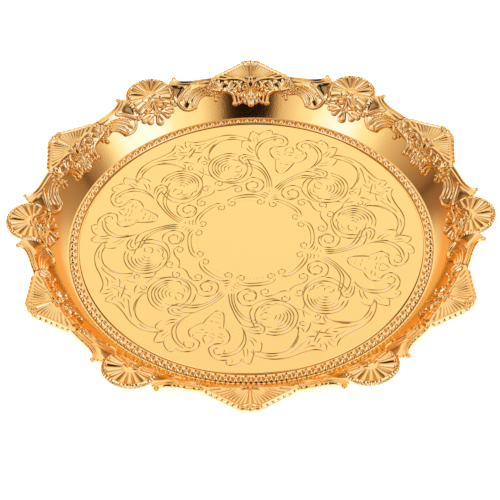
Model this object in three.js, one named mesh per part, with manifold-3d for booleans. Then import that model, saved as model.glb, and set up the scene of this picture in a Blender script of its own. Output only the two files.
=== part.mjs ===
// Round serving tray in gold-coloured brass: a spun pan with a raised round floor, a beaded band round
// that floor, and a border of cast mounts: six round fans, six pointed shells and twelve scroll rails.
// Millimetres, +Z up. The origin is on the tray's axis, on the surface that it stands on.
import * as THREE from 'three';
import { mergeVertices } from 'three/addons/utils/BufferGeometryUtils.js';
import Module from 'manifold-3d';

// ---- driving dimensions ----
const SHEET = 1.2; // thickness of the spun sheet
const FLOOR_RADIUS = 120; // edge of the raised round floor
const FLOOR_RISE = 0.8; // the floor stands this much above the seat of the beaded band
const SEAT_RADIUS = 127.4; // outer edge of that seat, where the wall starts
const WALL_TOP_RADIUS = 148; // where the wall turns over into the flange
const WALL_TOP = 20.2;
const WALL_FOOT_ANGLE = 25; // slope of the wall at its foot and at its top, in degrees
const WALL_HEAD_ANGLE = 48;
const WALL_PULL = 9.5; // how far each end of the wall keeps to its own slope
const FLANGE_RADIUS = 150.5; // where the flange is flat, and the line that the mounts are set out from
const FLANGE_TOP = 21.7;
const FLANGE_SLOPE = 8; // the flange climbs outward by this many degrees
const FLANGE_WIDTH = 2;
const BORDER_REACH = 24; // the mounts' own surface runs this far out from the flange line
const CLEARANCE = 0.3; // between a mount and the pan, or between two mounts
const MOUNT_THICKNESS = 2.2;
const BEAD_BAND = { inner: 121.2, outer: 127.0, height: 1.7 };
const LOBES = 6; // of each kind
const PITCH = Math.PI / LOBES; // from a round fan to the pointed shell beside it
const FAN_RADIUS = 18.3;

const ROUND_SEGMENTS = 96;
const WALL_STEPS = 4;
const wasm = await Module();
wasm.setup();

const radians = (degrees) => (degrees * Math.PI) / 180;

// ---- the line that the wall and flange follow, seen in section ----
function wallCurve() {
  const foot = new THREE.Vector2(SEAT_RADIUS, SHEET);
  const head = new THREE.Vector2(WALL_TOP_RADIUS, WALL_TOP);
  const direction = (degrees) => new THREE.Vector2(Math.cos(radians(degrees)), Math.sin(radians(degrees)));
  const footHandle = foot.clone().addScaledVector(direction(WALL_FOOT_ANGLE), WALL_PULL);
  const headHandle = head.clone().addScaledVector(direction(WALL_HEAD_ANGLE), -WALL_PULL);
  return new THREE.CubicBezierCurve(foot, footHandle, headHandle, head);
}

function sheetLine(reach) {
  const along = (distance) => new THREE.Vector2(
    FLANGE_RADIUS + distance * Math.cos(radians(FLANGE_SLOPE)),
    FLANGE_TOP + distance * Math.sin(radians(FLANGE_SLOPE)),
  );
  return [...wallCurve().getPoints(WALL_STEPS), along(0), along(reach)];
}

// Moves a section line sideways, up and inward when distance is positive.
function offsetLine(line, distance) {
  return line.map((point, i) => {
    const before = line[Math.max(i - 1, 0)];
    const after = line[Math.min(i + 1, line.length - 1)];
    const tangent = after.clone().sub(before).normalize();
    return new THREE.Vector2(point.x - tangent.y * distance, point.y + tangent.x * distance);
  });
}

// Radius of the border at a distance measured along its surface from the flange line, outward positive.
function borderRadius(distance) {
  if (distance >= 0) return FLANGE_RADIUS + distance * Math.cos(radians(FLANGE_SLOPE));
  const line = [new THREE.Vector2(FLANGE_RADIUS, FLANGE_TOP), ...wallCurve().getPoints(40).reverse()];
  let left = -distance;
  for (let i = 1; i < line.length; i += 1) {
    const step = line[i].distanceTo(line[i - 1]);
    if (left <= step) return line[i - 1].clone().lerp(line[i], left / step).x;
    left -= step;
  }
  return line[line.length - 1].x;
}

// ---- solids ----
function toManifold(geometry) {
  const bare = geometry.clone();
  bare.deleteAttribute('normal');
  bare.deleteAttribute('uv');
  const merged = mergeVertices(bare, 1e-4);
  return new wasm.Manifold(new wasm.Mesh({
    numProp: 3,
    vertProperties: new Float32Array(merged.attributes.position.array),
    triVerts: new Uint32Array(merged.index.array),
  }));
}

function toGeometry(manifold) {
  const mesh = manifold.getMesh();
  const geometry = new THREE.BufferGeometry();
  geometry.setAttribute('position', new THREE.BufferAttribute(mesh.vertProperties, 3));
  geometry.setIndex(new THREE.BufferAttribute(mesh.triVerts, 1));
  geometry.computeVertexNormals();
  return geometry;
}

// A section turned about +Z.
function revolve(section) {
  const geometry = new THREE.LatheGeometry(section, ROUND_SEGMENTS);
  geometry.rotateX(Math.PI / 2);
  return geometry;
}

// The layer that all the border mounts are cut from.
function mountLayer() {
  const line = sheetLine(BORDER_REACH);
  const under = offsetLine(line, CLEARANCE);
  const over = offsetLine(line, CLEARANCE + MOUNT_THICKNESS);
  const section = [...under, ...over.reverse(), under[0].clone()];
  return toManifold(revolve(section));
}

// An upright prism over an outline given as [along the rim, out from the flange line] pairs.
function prism(outline, grow = 0) {
  const plan = outline.map(([along, out]) => {
    const radius = borderRadius(out);
    const angle = along / FLANGE_RADIUS;
    return new THREE.Vector2(radius * Math.cos(angle), radius * Math.sin(angle));
  });
  const grown = plan.map((point, i) => {
    const before = plan[(i + plan.length - 1) % plan.length];
    const after = plan[(i + 1) % plan.length];
    const tangent = after.clone().sub(before).normalize();
    return new THREE.Vector2(point.x + tangent.y * grow, point.y - tangent.x * grow);
  });
  if (THREE.ShapeUtils.isClockWise(grown)) throw new Error('outline runs clockwise');
  return toManifold(new THREE.ExtrudeGeometry(new THREE.Shape(grown), { depth: 40, bevelEnabled: false }));
}

// ---- outlines, anticlockwise when looked at from above ----
const mirrored = (points) => points.map(([along, out]) => [-along, out]).reverse();

function fanOutline() {
  const arc = [];
  const stops = 20;
  for (let i = 0; i <= stops; i += 1) {
    const angle = radians(218 - (256 * i) / stops);
    arc.push([FAN_RADIUS * Math.cos(angle), FAN_RADIUS * Math.sin(angle)]);
  }
  const petals = [[13.4, -15.4], [9.6, -18.6], [5.4, -19], [3.6, -22], [0, -23.2]];
  return [...arc, ...petals, ...mirrored(petals).slice(1)];
}

function shellOutline() {
  const half = [
    [0, 17.4], [4.6, 16.4], [8, 12.8], [14, 9], [20.5, 5.2], [28.6, 2.2], [33, -3], [34.6, -9.6], [29, -10.4],
    [28.4, -14.4], [25, -14], [22, -10.6], [16.4, -14.6], [15.8, -19.4], [12, -20.4], [9.6, -18], [6, -20.6],
    [0, -22],
  ];
  return [...half, ...mirrored(half).slice(1, -1)];
}

// Set out from the axis of the round fan that it starts at.
const RAIL_OUTLINE = [
  [14, 0], [17, 9], [20, 11.4], [23, 11.2], [24.2, 7.6], [28, 4.6], [34, 3.2], [54, 2], [54, -10], [42, -10],
  [37.6, -11.4], [34.6, -13.4], [34, -17.4], [30.6, -18.2], [26, -19], [21.6, -17.6], [18, -13], [14, -12],
];

// ---- the pieces ----
const brass = (colour, roughness) => new THREE.MeshStandardMaterial({ color: colour, roughness, metalness: 1 });
const tray = new THREE.Group();

function addPiece(name, geometry, material, turn = 0) {
  const mesh = new THREE.Mesh(geometry, material);
  mesh.name = name;
  mesh.rotation.z = turn;
  tray.add(mesh);
}

// Pan: the floor, the seat of the band, the wall and the flange, spun from one sheet.
function panGeometry() {
  const shoulder = 0.6;
  const floorLine = [
    new THREE.Vector2(FLOOR_RADIUS - shoulder, SHEET + FLOOR_RISE),
    new THREE.Vector2(FLOOR_RADIUS + shoulder, SHEET),
  ];
  const line = sheetLine(FLANGE_WIDTH);
  const under = offsetLine(line, -SHEET);
  under[0] = new THREE.Vector2(SEAT_RADIUS, 0);
  const top = [new THREE.Vector2(0, SHEET + FLOOR_RISE), ...floorLine, ...line];
  const bottom = [
    ...under.reverse(),
    new THREE.Vector2(FLOOR_RADIUS + shoulder, 0),
    new THREE.Vector2(FLOOR_RADIUS - shoulder, FLOOR_RISE),
    new THREE.Vector2(0, FLOOR_RISE),
  ];
  return revolve([...bottom.reverse(), ...top.reverse()]);
}
addPiece('pan', panGeometry(), brass(0xe8b64c, 0.22));

// Beaded band: a half-round ring on its seat.
function bandGeometry() {
  const { inner, outer, height } = BEAD_BAND;
  const base = SHEET + CLEARANCE;
  const middle = (inner + outer) / 2;
  const sides = 5;
  const section = [];
  for (let i = 0; i <= sides; i += 1) {
    const angle = Math.PI * (1 - i / sides);
    section.push(new THREE.Vector2(middle + ((outer - inner) / 2) * Math.cos(angle), base + height * Math.sin(angle)));
  }
  section.push(section[0].clone());
  return revolve(section.reverse());
}
addPiece('bead_band', bandGeometry(), brass(0xe2ab45, 0.2));

// Cast mounts: each is cut from the same layer, then turned to its own place on the rim.
const layer = mountLayer();
const spacing = CLEARANCE + 0.1;

function railGeometry(hand) {
  const outline = hand > 0 ? RAIL_OUTLINE : mirrored(RAIL_OUTLINE);
  const shellBeside = toManifold(toGeometry(prism(shellOutline(), spacing)).rotateZ(hand * PITCH));
  return toGeometry(layer.intersect(prism(outline)).subtract(prism(fanOutline(), spacing)).subtract(shellBeside));
}

const fan = toGeometry(layer.intersect(prism(fanOutline())));
const shell = toGeometry(layer.intersect(prism(shellOutline())));
const leftRail = railGeometry(1);
const rightRail = railGeometry(-1);

for (let i = 0; i < LOBES; i += 1) {
  const turn = 2 * PITCH * i;
  addPiece(`round_fan_${i + 1}`, fan, brass(0xe9bb58, 0.24), turn);
  addPiece(`pointed_shell_${i + 1}`, shell, brass(0xe6b450, 0.24), turn + PITCH);
  addPiece(`scroll_rail_left_${i + 1}`, leftRail, brass(0xe4b04a, 0.24), turn);
  addPiece(`scroll_rail_right_${i + 1}`, rightRail, brass(0xe4b04a, 0.24), turn);
}

export default tray;
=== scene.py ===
# %% [markdown]
# # A gold-coloured brass tray
# The tray is a spun pan with an engraved floor, a beaded band round that floor, and a border of cast
# mounts: round fans, pointed shells, and scroll rails between them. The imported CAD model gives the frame:
# every piece here is built in metres where its plain CAD solid lies, and then stands for it.

# %% Load the frame
import math

import bpy
import numpy as np
from mathutils import Matrix, Vector
from mathutils.geometry import delaunay_2d_cdt
from mathutils.kdtree import KDTree


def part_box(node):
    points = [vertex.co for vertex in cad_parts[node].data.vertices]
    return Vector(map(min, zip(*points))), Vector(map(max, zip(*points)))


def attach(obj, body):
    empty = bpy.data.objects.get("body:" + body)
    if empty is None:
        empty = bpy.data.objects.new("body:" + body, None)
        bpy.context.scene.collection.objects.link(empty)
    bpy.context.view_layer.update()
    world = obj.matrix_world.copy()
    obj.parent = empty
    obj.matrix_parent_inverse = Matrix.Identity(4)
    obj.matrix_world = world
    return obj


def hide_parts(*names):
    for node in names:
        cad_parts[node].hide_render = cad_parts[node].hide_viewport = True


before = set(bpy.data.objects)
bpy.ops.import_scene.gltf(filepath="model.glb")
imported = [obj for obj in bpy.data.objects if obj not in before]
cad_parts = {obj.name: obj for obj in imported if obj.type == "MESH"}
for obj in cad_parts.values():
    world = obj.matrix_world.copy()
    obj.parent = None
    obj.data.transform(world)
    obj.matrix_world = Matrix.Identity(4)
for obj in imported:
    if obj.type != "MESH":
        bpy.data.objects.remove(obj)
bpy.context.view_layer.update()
scene = bpy.context.scene
MM = 0.001
_, pan_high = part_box("pan")
band_low, band_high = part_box("bead_band")
print("nodes in the frame:", len(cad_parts))

# %% [markdown]
# ## The section of the pan
# Wall, turnover and flange are one smooth line in section, and the border is laid out along it. "out" is
# the distance along the line from where the flange goes flat, outward positive, "along" is the distance
# round the rim there, and "lift" is the height above the sheet. A map from (along, out, lift) to space
# bends a flat design onto the tray.

# %% The section line
SHEET = 1.2
FLOOR_RADIUS = 120.0
FLOOR_TOP = 2.0
SEAT_RADIUS = 127.4
WALL_TOP_RADIUS, WALL_TOP = 148.0, 20.2
WALL_FOOT_ANGLE, WALL_HEAD_ANGLE = math.radians(25), math.radians(48)
WALL_PULL = 9.5
FLANGE_RADIUS, FLANGE_TOP = 150.5, 21.7
FLANGE_SLOPE = math.radians(8)
FLANGE_EDGE = pan_high.x / MM
TURNOVER_PULL = 1.77
BORDER_REACH = 26.0
WALL_POINTS, TURNOVER_POINTS, FLANGE_POINTS = 60, 14, 60
LOBES = 6


def bezier(points, count):
    """Points along a Bezier curve of any degree, by blending its control points in pairs."""
    t = np.linspace(0, 1, count)[:, None]
    level = [np.array(p, float)[None, :] for p in points]
    while len(level) > 1:
        level = [a * (1 - t) + b * t for a, b in zip(level, level[1:])]
    return level[0]


def heading(angle):
    return np.array([math.cos(angle), math.sin(angle)])


def turned(x, y, turn):
    """x and y after a turn about the axis."""
    c, s = math.cos(turn), math.sin(turn)
    return c * x - s * y, s * x + c * y


def ring_points(radius, height, turns):
    """Points round the axis; the height is one value or one for each point."""
    return np.column_stack([radius * np.cos(turns), radius * np.sin(turns), height + 0 * turns])


def sew(first, second, count):
    """Faces between two rings, each given by the number of its first point."""
    return [[first + i, second + i, second + (i + 1) % count, first + (i + 1) % count] for i in range(count)]


def section_line():
    """The top face of wall, turnover and a flange drawn on outward, as points 0.1 to 0.5 mm apart."""
    foot = np.array([SEAT_RADIUS, SHEET])
    head = np.array([WALL_TOP_RADIUS, WALL_TOP])
    flat = np.array([FLANGE_RADIUS, FLANGE_TOP])
    foot_pull = foot + WALL_PULL * heading(WALL_FOOT_ANGLE)
    head_pull = head - WALL_PULL * heading(WALL_HEAD_ANGLE)
    wall = bezier([foot, foot_pull, head_pull, head], WALL_POINTS)
    corner = head + TURNOVER_PULL * heading(WALL_HEAD_ANGLE)
    turnover = bezier([head, corner, flat], TURNOVER_POINTS)
    reach = flat + np.linspace(0, BORDER_REACH, FLANGE_POINTS)[:, None] * heading(FLANGE_SLOPE)
    return np.concatenate([wall, turnover[1:], reach[1:]])


LINE = section_line()
LINE_STEPS = np.hypot(*np.diff(LINE, axis=0).T)
LINE_OUT = np.concatenate([[0], np.cumsum(LINE_STEPS)])
LINE_OUT -= LINE_OUT[np.argmin(np.abs(LINE[:, 0] - FLANGE_RADIUS))]
slope = np.gradient(LINE, LINE_OUT, axis=0)
LINE_ANGLE = np.arctan2(slope[:, 1], slope[:, 0])
print("the wall is", round(-LINE_OUT[0], 1), "mm long from its foot to the flange")


def on_border(along, out, lift):
    """(along, out, lift) in mm to points in metres, with the lobe's middle on +X."""
    radius = np.interp(out, LINE_OUT, LINE[:, 0])
    height = np.interp(out, LINE_OUT, LINE[:, 1])
    angle = np.interp(out, LINE_OUT, LINE_ANGLE)
    radius = radius - np.sin(angle) * lift
    height = height + np.cos(angle) * lift
    turn = along / FLANGE_RADIUS
    return np.stack([radius * np.cos(turn), radius * np.sin(turn), height], -1) * MM


# %% [markdown]
# ## Drawing relief
# Each casting is drawn as relief over a flat sheet: rolls, leaves, knobs and fluted fans, where the
# highest form wins. A form is a signed distance (negative inside it) and a height. Distances keep the
# scrolls exact, and they give the outline of the casting as well.

# %% Distances, and forms on a flat sheet
def ease(low, high, value):
    x = np.clip((value - low) / (high - low), 0, 1)
    return x * x * (3 - 2 * x)


def dome(gap, radius):
    """A half-round form of unit height, by the distance from its middle."""
    return np.sqrt(np.clip(1 - (gap / radius) ** 2, 0, 1))


def smooth_path(points, per_span=8):
    """A smooth line through a few chosen points (Catmull-Rom)."""
    p = np.array(points, float)
    p = np.concatenate([[2 * p[0] - p[1]], p, [2 * p[-1] - p[-2]]])
    t = np.linspace(0, 1, per_span, endpoint=False)[:, None]
    spans = []
    for a, b, c, d in zip(p, p[1:], p[2:], p[3:]):
        bend = 2 * a - 5 * b + 4 * c - d
        twist = 3 * b - a - 3 * c + d
        spans.append(0.5 * (2 * b + (c - a) * t + bend * t**2 + twist * t**3))
    return np.concatenate(spans + [p[-2:-1]])


def to_line(along, out, line):
    """Distance to a broken line, and how far along it (0 to 1) the nearest point is."""
    steps = np.hypot(*np.diff(line, axis=0).T)
    start = np.concatenate([[0], np.cumsum(steps)])
    best = np.full(along.shape, 1e9)
    share = np.zeros(along.shape)
    for a, b, step, s in zip(line, line[1:], steps, start):
        run = b - a
        u = np.clip(((along - a[0]) * run[0] + (out - a[1]) * run[1]) / max(step * step, 1e-9), 0, 1)
        gap = np.hypot(along - a[0] - u * run[0], out - a[1] - u * run[1])
        closer = gap < best
        best = np.where(closer, gap, best)
        share = np.where(closer, (s + u * step) / start[-1], share)
    return best, share


def inside_polygon(along, out, corners):
    """Signed distance to a closed outline, negative inside."""
    gap, _ = to_line(along, out, np.array(corners + corners[:1], float))
    inside = np.zeros(along.shape, bool)
    for (x0, y0), (x1, y1) in zip(corners, corners[1:] + corners[:1]):
        crosses = ((y0 > out) != (y1 > out)) & (along < (x1 - x0) * (out - y0) / ((y1 - y0) or 1e-9) + x0)
        inside ^= crosses
    return np.where(inside, -gap, gap)


class Relief:
    """Forms laid over each other on a flat sheet, with a mark of how much painted shade darkens each point,
    for narrow slits and holes.
    """

    def __init__(self, along, out):
        self.along, self.out = along, out
        self.height = np.zeros(along.shape)
        self.painted_shade = np.zeros(along.shape)
        self.edge = np.full(along.shape, 1e3)

    def add(self, distance, height, painted_shade=0.0):
        self.edge = np.minimum(self.edge, distance)
        wins = (distance < 0) & (height > self.height)
        self.height = np.where(wins, height, self.height)
        self.painted_shade = np.where(wins, painted_shade, self.painted_shade)

    def roll(self, points, thick, height, tip=None):
        """A half-round wire along a path, from the radius thick to the radius tip."""
        gap, share = to_line(self.along, self.out, smooth_path(points))
        radius = thick + ((thick if tip is None else tip) - thick) * share
        self.add(gap - radius, height * (0.35 + 0.65 * dome(gap, radius)) * (0.6 + 0.4 * radius / thick))

    def knob(self, centre, radius, height, stretch=(1, 1)):
        gap = np.hypot((self.along - centre[0]) / stretch[0], (self.out - centre[1]) / stretch[1])
        self.add((gap - radius) * min(stretch), height * (0.3 + 0.7 * dome(gap, radius)))

    def leaf(self, base, tip, narrow, wide, height, dip=0.0, rim=0.9):
        """A tapered petal from base to a round tip, hollowed like a spoon inside its rim."""
        gap, share = to_line(self.along, self.out, np.array([base, tip], float))
        inside = narrow + (wide - narrow) * share - gap
        crown = dome(1 - np.clip(inside / rim, 0, 1), 1)
        hollow = dip * ease(rim * 0.8, rim * 2.2, inside)
        self.add(-inside, height * (0.25 + 0.75 * crown) - hollow)


# %% [markdown]
# ## The round fans
# A round fan is a dished shell whose flutes widen towards a thin rim with a row of small beads outside it.
# Under its hub hang a pair of looped leaves and a palmette of five hollow petals, the middle one a drop on
# the wall.

# %% Relief of a round fan
FAN_RIM, FAN_EDGE, FAN_BACK_EDGE = 16.2, 16.7, 14.0
FLUTE_PITCH = math.radians(19.3)
FLUTES_EACH_SIDE = 6
FAN_BEAD, FAN_BEAD_RING = 1.15, 17.15
FAN_BEAD_PITCH = math.radians(7.5)
FAN_BEADS_EACH_SIDE = 15


def fan_relief(along, out):
    side = np.abs(along)
    relief = Relief(side, out)
    roll, knob, leaf = relief.roll, relief.knob, relief.leaf
    reach = np.hypot(along, out)
    turn = np.arctan2(side, out)
    # ground of the fan, dished from hub to rim, with a deep slit between every two lobes
    fluted = turn < FLUTE_PITCH * (FLUTES_EACH_SIDE + 0.46)
    share = turn / FLUTE_PITCH
    nearest = np.abs(share - np.round(share))
    slit = np.clip(1 - nearest / (0.08 + 0.13 * ease(3, 13, reach)), 0, 1)
    slit = slit**0.7 * ease(3.0, 6.0, reach) * (1 - ease(15.0, 15.9, reach))
    ground = 1.5 + (reach / 16) ** 2
    crown = 0.25 * (reach / 16) * np.sin(np.clip(nearest, 0, 0.5) * math.pi)
    rim = 0.3 * dome(reach - FAN_RIM, 0.6)
    face = np.where(fluted, np.maximum(ground - 1.35 * slit + crown + rim, 0.1), 0.35)
    edge = reach - np.where(fluted, FAN_EDGE, FAN_BACK_EDGE)
    # painted shade darkens the slits between the lobes
    relief.add(edge, face, painted_shade=np.where(fluted, 0.65 * slit, 0))
    # beads outside the rim
    step = np.round(turn / FAN_BEAD_PITCH)
    bead_turn = np.minimum(step, FAN_BEADS_EACH_SIDE) * FAN_BEAD_PITCH
    bead_gap = np.hypot(side - FAN_BEAD_RING * np.sin(bead_turn), out - FAN_BEAD_RING * np.cos(bead_turn))
    relief.add(bead_gap - FAN_BEAD, 0.4 + 1.3 * dome(bead_gap, FAN_BEAD))
    # a crown-like hub with a curl at each side, and the looped leaves that spring from it
    roll([(0, 0.9), (2.4, 0.5), (4.8, -0.6), (6.6, -1.2), (7.4, -2.6), (6, -3.4)], 0.95, 2.5, 0.55)
    knob((2.6, -1.6), 0.8, 2.2)
    roll([(0.8, -2.4), (3.4, -4.9), (6.6, -6.2), (9.8, -7.6), (12.6, -9.4), (15.8, -10.2)], 1.0, 2.6, 0.8)
    roll([(1, -5.8), (3.4, -8.6), (6.4, -9.4), (8.8, -8.9)], 0.8, 2.3, 0.6)
    knob((8.9, -9.3), 1.0, 2.2)
    roll([(16.4, -11.8), (13, -12.1), (8.8, -11.6), (4.8, -12.4), (1.6, -14)], 1.0, 2.6, 0.8)
    knob((16.6, -11.6), 1.6, 2.7)
    # a palmette of five spoon-shaped petals, the middle one a drop that lies on the wall
    leaf((5.6, -12.6), (12.4, -14.9), 0.9, 2.3, 2.5, dip=1.5, rim=0.7)
    leaf((3.4, -13), (7.9, -17.4), 0.8, 2.6, 2.7, dip=1.6, rim=0.75)
    leaf((0, -14), (0, -19.8), 1.1, 3.4, 2.9, dip=1.7, rim=0.95)
    roll([(0, -1.6), (0, -8), (0, -12.4)], 0.95, 2.6, 1.5)
    return relief


# %% [markdown]
# ## The pointed shells
# A pointed shell spreads wide, with fine ribs, a keel and a rolled cap at its point. Leafy wings with
# curls on them run out from its boss, a pair of scrolls hangs down from the wings, and a palmette lies
# between the scrolls.

# %% Relief of a pointed shell
SHELL_PEAK = (5.4, 15.0)
SHELL_CORNER = (29.4, 2.0)
RIB_PITCH = math.radians(7.4)
EDGE_BEAD_PITCH = 3.9
BOSS_OUT = -4.7
WING = [(2, -2.6), (25, -0.6), (27, -5), (24, -9.4), (15.4, -9.2), (8, -8.2), (3, -7.4)]
SHELL_GROUND = [(0, 2), (29, 2), (35, -4), (35.2, -10.4), (29, -11.8), (22, -10.8)]
SHELL_GROUND += [(15, -11.6), (11, -14), (0, -14)]


def shell_relief(along, out):
    side = np.abs(along)
    relief = Relief(side, out)
    roll, knob, leaf = relief.roll, relief.knob, relief.leaf
    peak, corner = np.array(SHELL_PEAK), np.array(SHELL_CORNER)
    run = corner - peak
    length = np.hypot(*run)
    run = run / length
    normal = np.array([-run[1], run[0]])
    travel = (side - peak[0]) * run[0] + (out - peak[1]) * run[1]
    bow = 0.9 * np.sin(np.clip(travel / length, 0, 1) * math.pi)
    past = (side - peak[0]) * normal[0] + (out - peak[1]) * normal[1] + bow
    # low ground that carries the wings
    ground = inside_polygon(side, out, SHELL_GROUND)
    relief.add(ground, 0.6)
    # ribbed face, swelling toward the keel, its slits darkened with painted shade
    reach = np.hypot(side, out + 5.5)
    turn = np.arctan2(side, out + 5.5)
    share = turn / RIB_PITCH
    nearest = np.abs(share - np.round(share))
    slit = np.clip(1 - nearest / 0.18, 0, 1)
    slit *= ease(4.5, 7.0, reach) * (1 - ease(-2.9, -2.0, past)) * ease(0.5, 0.9, share)
    long_slits = 1 - ease(3.5, 10.5, share) * ease(13.0, 9.0, reach)
    slit *= 0.25 + 0.75 * long_slits
    face = 1.5 + 0.04 * reach - 0.9 * slit
    keel = 0.9 * dome(side, 1.1) * ease(-2, 1, out) * (1 - ease(12.5, 14.0, out))
    hem = -1.6 + 0.035 * side - out
    plate = np.maximum.reduce([past, out - 16.2, hem, side - 31.0])
    relief.add(plate, face + keel, painted_shade=0.85 * slit)
    # rim and the long beads outside it
    rim_gap = np.abs(past + 1.0)
    rim_on = (travel > -1.5) & (travel < length + 1.0)
    relief.add(np.where(rim_on, rim_gap - 0.75, 1e3), 2.9 * dome(rim_gap, 0.95))
    for i in range(int(length // EDGE_BEAD_PITCH)):
        at = 1.4 + EDGE_BEAD_PITCH * (i + 0.5)
        sink = 0.9 * math.sin(min(max(at / length, 0), 1) * math.pi)
        middle = peak + run * at + normal * (0.25 - sink)
        leaf(middle - run, middle + run, 1.15, 1.25, 1.9, rim=1.2)
    # cap: a middle leaf between two curled ones
    roll([(1.6, 12.4), (4.4, 13.8), (6.2, 15), (4.6, 15.9), (2, 15.6)], 0.85, 3.4, 0.6)
    knob((0, 15.4), 1.9, 3.7, stretch=(1.2, 1))
    # boss: a ring round a hole, the hole a shallow dish painted dark as its shade
    from_boss = np.hypot(side, out - BOSS_OUT)
    ring = np.abs(from_boss - 2.0)
    relief.add(from_boss - 2.6, 0.4)
    relief.height = np.where(from_boss < 1.6, 0.4, relief.height)
    relief.painted_shade = np.where(from_boss < 1.3, 1.0, relief.painted_shade)
    relief.add(ring - 0.9, 3.8 * dome(ring, 1.0))
    # wings: an upper roll, and a broad leaf whose fingers flow outward and then droop
    drop = np.clip(-2.6 - out, 0, 8)
    finger = (side - 6.0 * np.sqrt(drop / 6)) / (3.6 + 0.13 * side)
    ridge = np.abs(np.sin(math.pi * finger)) ** 0.8
    wing = inside_polygon(side, out, WING)
    swell = ease(0.3, -1.6, wing)
    # painted shade darkens the grooves between the wing's fingers
    relief.add(wing, 0.7 + swell * (0.9 + 0.8 * ridge), painted_shade=0.3 * swell * (1 - ease(0.0, 0.3, ridge)))
    for x, y, size in ((6.6, -4.6, 1.0), (13.4, -3.9, 1.35), (21.0, -3.8, 1.2)):
        curl = [(x - 2.0 * size, y + 0.6), (x + 0.6 * size, y + 0.9), (x + 2.3 * size, y - 0.8 * size)]
        curl += [(x + 1.9 * size, y - 2.9 * size), (x + 0.2 * size, y - 2.9 * size)]
        roll(curl, 0.8 * size, 3.0, 0.9 * size)
    roll([(2.8, -3.4), (8, -1.7), (15, -1), (22, -1), (28.8, 1.2)], 1.0, 2.9, 0.75)
    roll([(2.4, -8.2), (6.4, -8.9), (10.8, -9.4), (14.8, -9.2)], 0.7, 2.7, 0.6)
    arm = [(30.2, -6.8), (24.4, -8.4), (18, -9.6), (14.4, -12.2), (13.3, -15.6), (13.3, -18.2)]
    roll(arm, 1.5, 3.3, 1.3)
    roll([(18.6, -8.4), (13.4, -10), (10.7, -13), (10, -17.4)], 0.95, 2.9, 1.0)
    knob((13.3, -18.8), 2.15, 3.8)
    knob((9.7, -18.4), 1.7, 3.4)
    # palmette: a pointed middle leaf, a ball at each side, and drops below
    leaf((0, -7.4), (0, -12), 1.0, 2.3, 3.2, dip=0.9, rim=0.8)
    roll([(2.2, -8.6), (4.6, -9.4), (7.6, -9.8)], 0.75, 2.8, 0.55)
    knob((6.2, -13.2), 2.8, 3.6)
    knob((3, -11.4), 0.9, 3.0)
    leaf((5.8, -15.2), (6.7, -17.2), 0.9, 1.9, 3.2, dip=0.4, rim=1.0)
    leaf((2.4, -12.8), (3.7, -18.4), 0.7, 1.9, 3.1, dip=0.4, rim=1.0)
    leaf((0, -13.4), (0, -19.4), 1.0, 2.7, 3.6, dip=0.6, rim=1.2)
    relief.add(np.hypot(side / 1.25, out + 13.2) - 7.2, 0.5)
    # outer cluster of leaves and the small hanging scroll
    for foot, tip, wide in (
        ((24.8, -7.6), (29, -1.2), 1.3),
        ((27.8, -8.2), (31.6, -2.6), 1.3),
        ((30.4, -9), (33.6, -4.8), 1.25),
        ((32.4, -9.8), (34.8, -7.4), 1.1),
    ):
        leaf(foot, tip, 0.5, wide, 3.0, dip=1.1, rim=0.6)
    roll([(22.6, -9.4), (26, -10.4), (28.4, -12.2), (28.8, -14.2)], 1.0, 2.8, 0.8)
    knob((28.6, -14.4), 1.6, 3.2)
    knob((25.6, -12.4), 1.0, 2.4)
    roll([(27, -9.4), (31, -10.6), (34.8, -9.9)], 1.0, 2.7)
    return relief


# %% [markdown]
# ## The scroll rails
# A rail joins a fan to a shell. Its outer edge is a pair of rolled mouldings that end in a horn with a
# knob, and its inner edge is an arch of ridges that curls into a ball. A scooped, stippled panel and a
# hollow lie between, the hollow darkened with painted shade, as is a groove along the mouldings.

# %% Relief of a scroll rail
RAIL_TOP = [(16.5, 5.0), (19.4, 8.0), (21.9, 9.2), (24.2, 6.4), (28, 4.6), (34, 3.1), (44, 2.3), (56, 1.6)]
RAIL_FOOT = [(56, -9.4), (43, -9.8), (38.2, -11.0), (35.0, -13.4), (33.0, -17.6)]
RAIL_FOOT += [(26.0, -18.7), (21.6, -16.8), (17.0, -10)]
RAIL_HOLLOW = [(16.6, 4.0), (18.4, -8.4), (27.0, -1.6), (22.6, 1.4)]


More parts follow.
